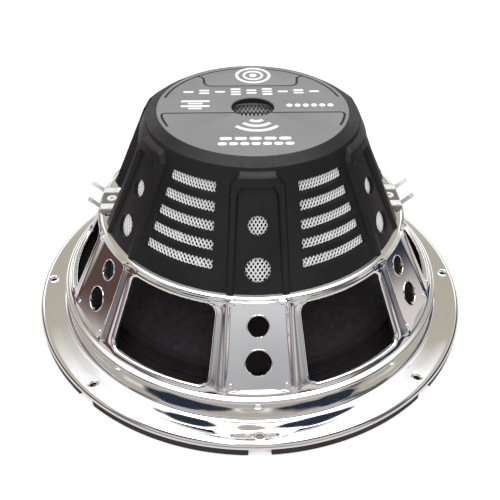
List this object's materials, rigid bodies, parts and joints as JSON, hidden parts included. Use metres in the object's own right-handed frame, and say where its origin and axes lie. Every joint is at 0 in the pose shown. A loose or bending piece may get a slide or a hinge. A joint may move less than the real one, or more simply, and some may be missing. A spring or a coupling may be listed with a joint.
{
  "type": "car subwoofer driver",
  "caption": "Round car subwoofer driver with a chromed spoked basket, a tapered black motor cover with louvres and mesh, a grey badge disc and solder tabs at both sides.",
  "frame": {"origin": "centre of the plane that the gasket rests on, on the driver's axis", "axes": "+Z from the front of the driver to the back of its motor; -Y through the front spoke; +X through the right-hand terminals"},
  "size_m": [0.317, 0.317, 0.1546],
  "materials": {
    "chrome_sheet": "mirror-polished chrome plate on pressed steel",
    "gasket_rubber": "matte moulded rubber",
    "surround_foam": "matte fine-celled foam",
    "cone_paper": "black fibrous paper",
    "cap_paper": "black coated paper, satin",
    "spider_cloth": "resin-stiffened open cloth",
    "former_film": "amber film",
    "collar_card": "bonded card wrap",
    "copper_wire": "enamelled copper winding",
    "plated_steel": "zinc-plated machined steel",
    "ferrite": "ground ferrite",
    "zinc_screw": "bright zinc",
    "cover_plastic": "fine-textured black moulding",
    "expanded_mesh": "bright expanded metal",
    "badge_grey": "satin grey with engraved lines",
    "phenolic": "pressed phenolic board",
    "tinned_metal": "bright tin plate",
    "tinsel_braid": "woven tinsel wire"
  },
  "bodies": {
    "chassis": {"basket": "chrome_sheet", "gasket_segments": "gasket_rubber", "surround": "surround_foam", "spider": "spider_cloth", "top_plate": "plated_steel", "ring_magnet": "ferrite", "pole_yoke": "plated_steel", "motor_screws": "zinc_screw", "motor_cover": "cover_plastic", "cover_screws": "zinc_screw", "mesh_liner": "expanded_mesh", "badge_disc": "badge_grey", "vent_screen": "expanded_mesh", "terminal_board_left": "phenolic", "terminal_board_right": "phenolic", "terminal_rivet_left": "tinned_metal", "terminal_rivet_right": "tinned_metal", "terminal_tab_left_front": "tinned_metal", "terminal_tab_left_rear": "tinned_metal", "terminal_tab_right_front": "tinned_metal", "terminal_tab_right_rear": "tinned_metal", "tinsel_lead_left_front": "tinsel_braid", "tinsel_lead_left_rear": "tinsel_braid", "tinsel_lead_right_front": "tinsel_braid", "tinsel_lead_right_rear": "tinsel_braid"},
    "cone_assembly": {"cone": "cone_paper", "dust_cap": "cap_paper", "coil_former": "former_film", "former_collar": "collar_card", "voice_coil_inner": "copper_wire", "voice_coil_outer": "copper_wire"}
  },
  "joints": [
    {"name": "cone_travel", "type": "slide", "parent": "chassis", "child": "cone_assembly", "axis": [0, 0, 1], "range_m": [-0.01, 0.01], "stiffness_N_per_m": 6000, "deforming": ["surround", "spider", "tinsel_lead_left_front", "tinsel_lead_left_rear", "tinsel_lead_right_front", "tinsel_lead_right_rear"]}
  ]
}
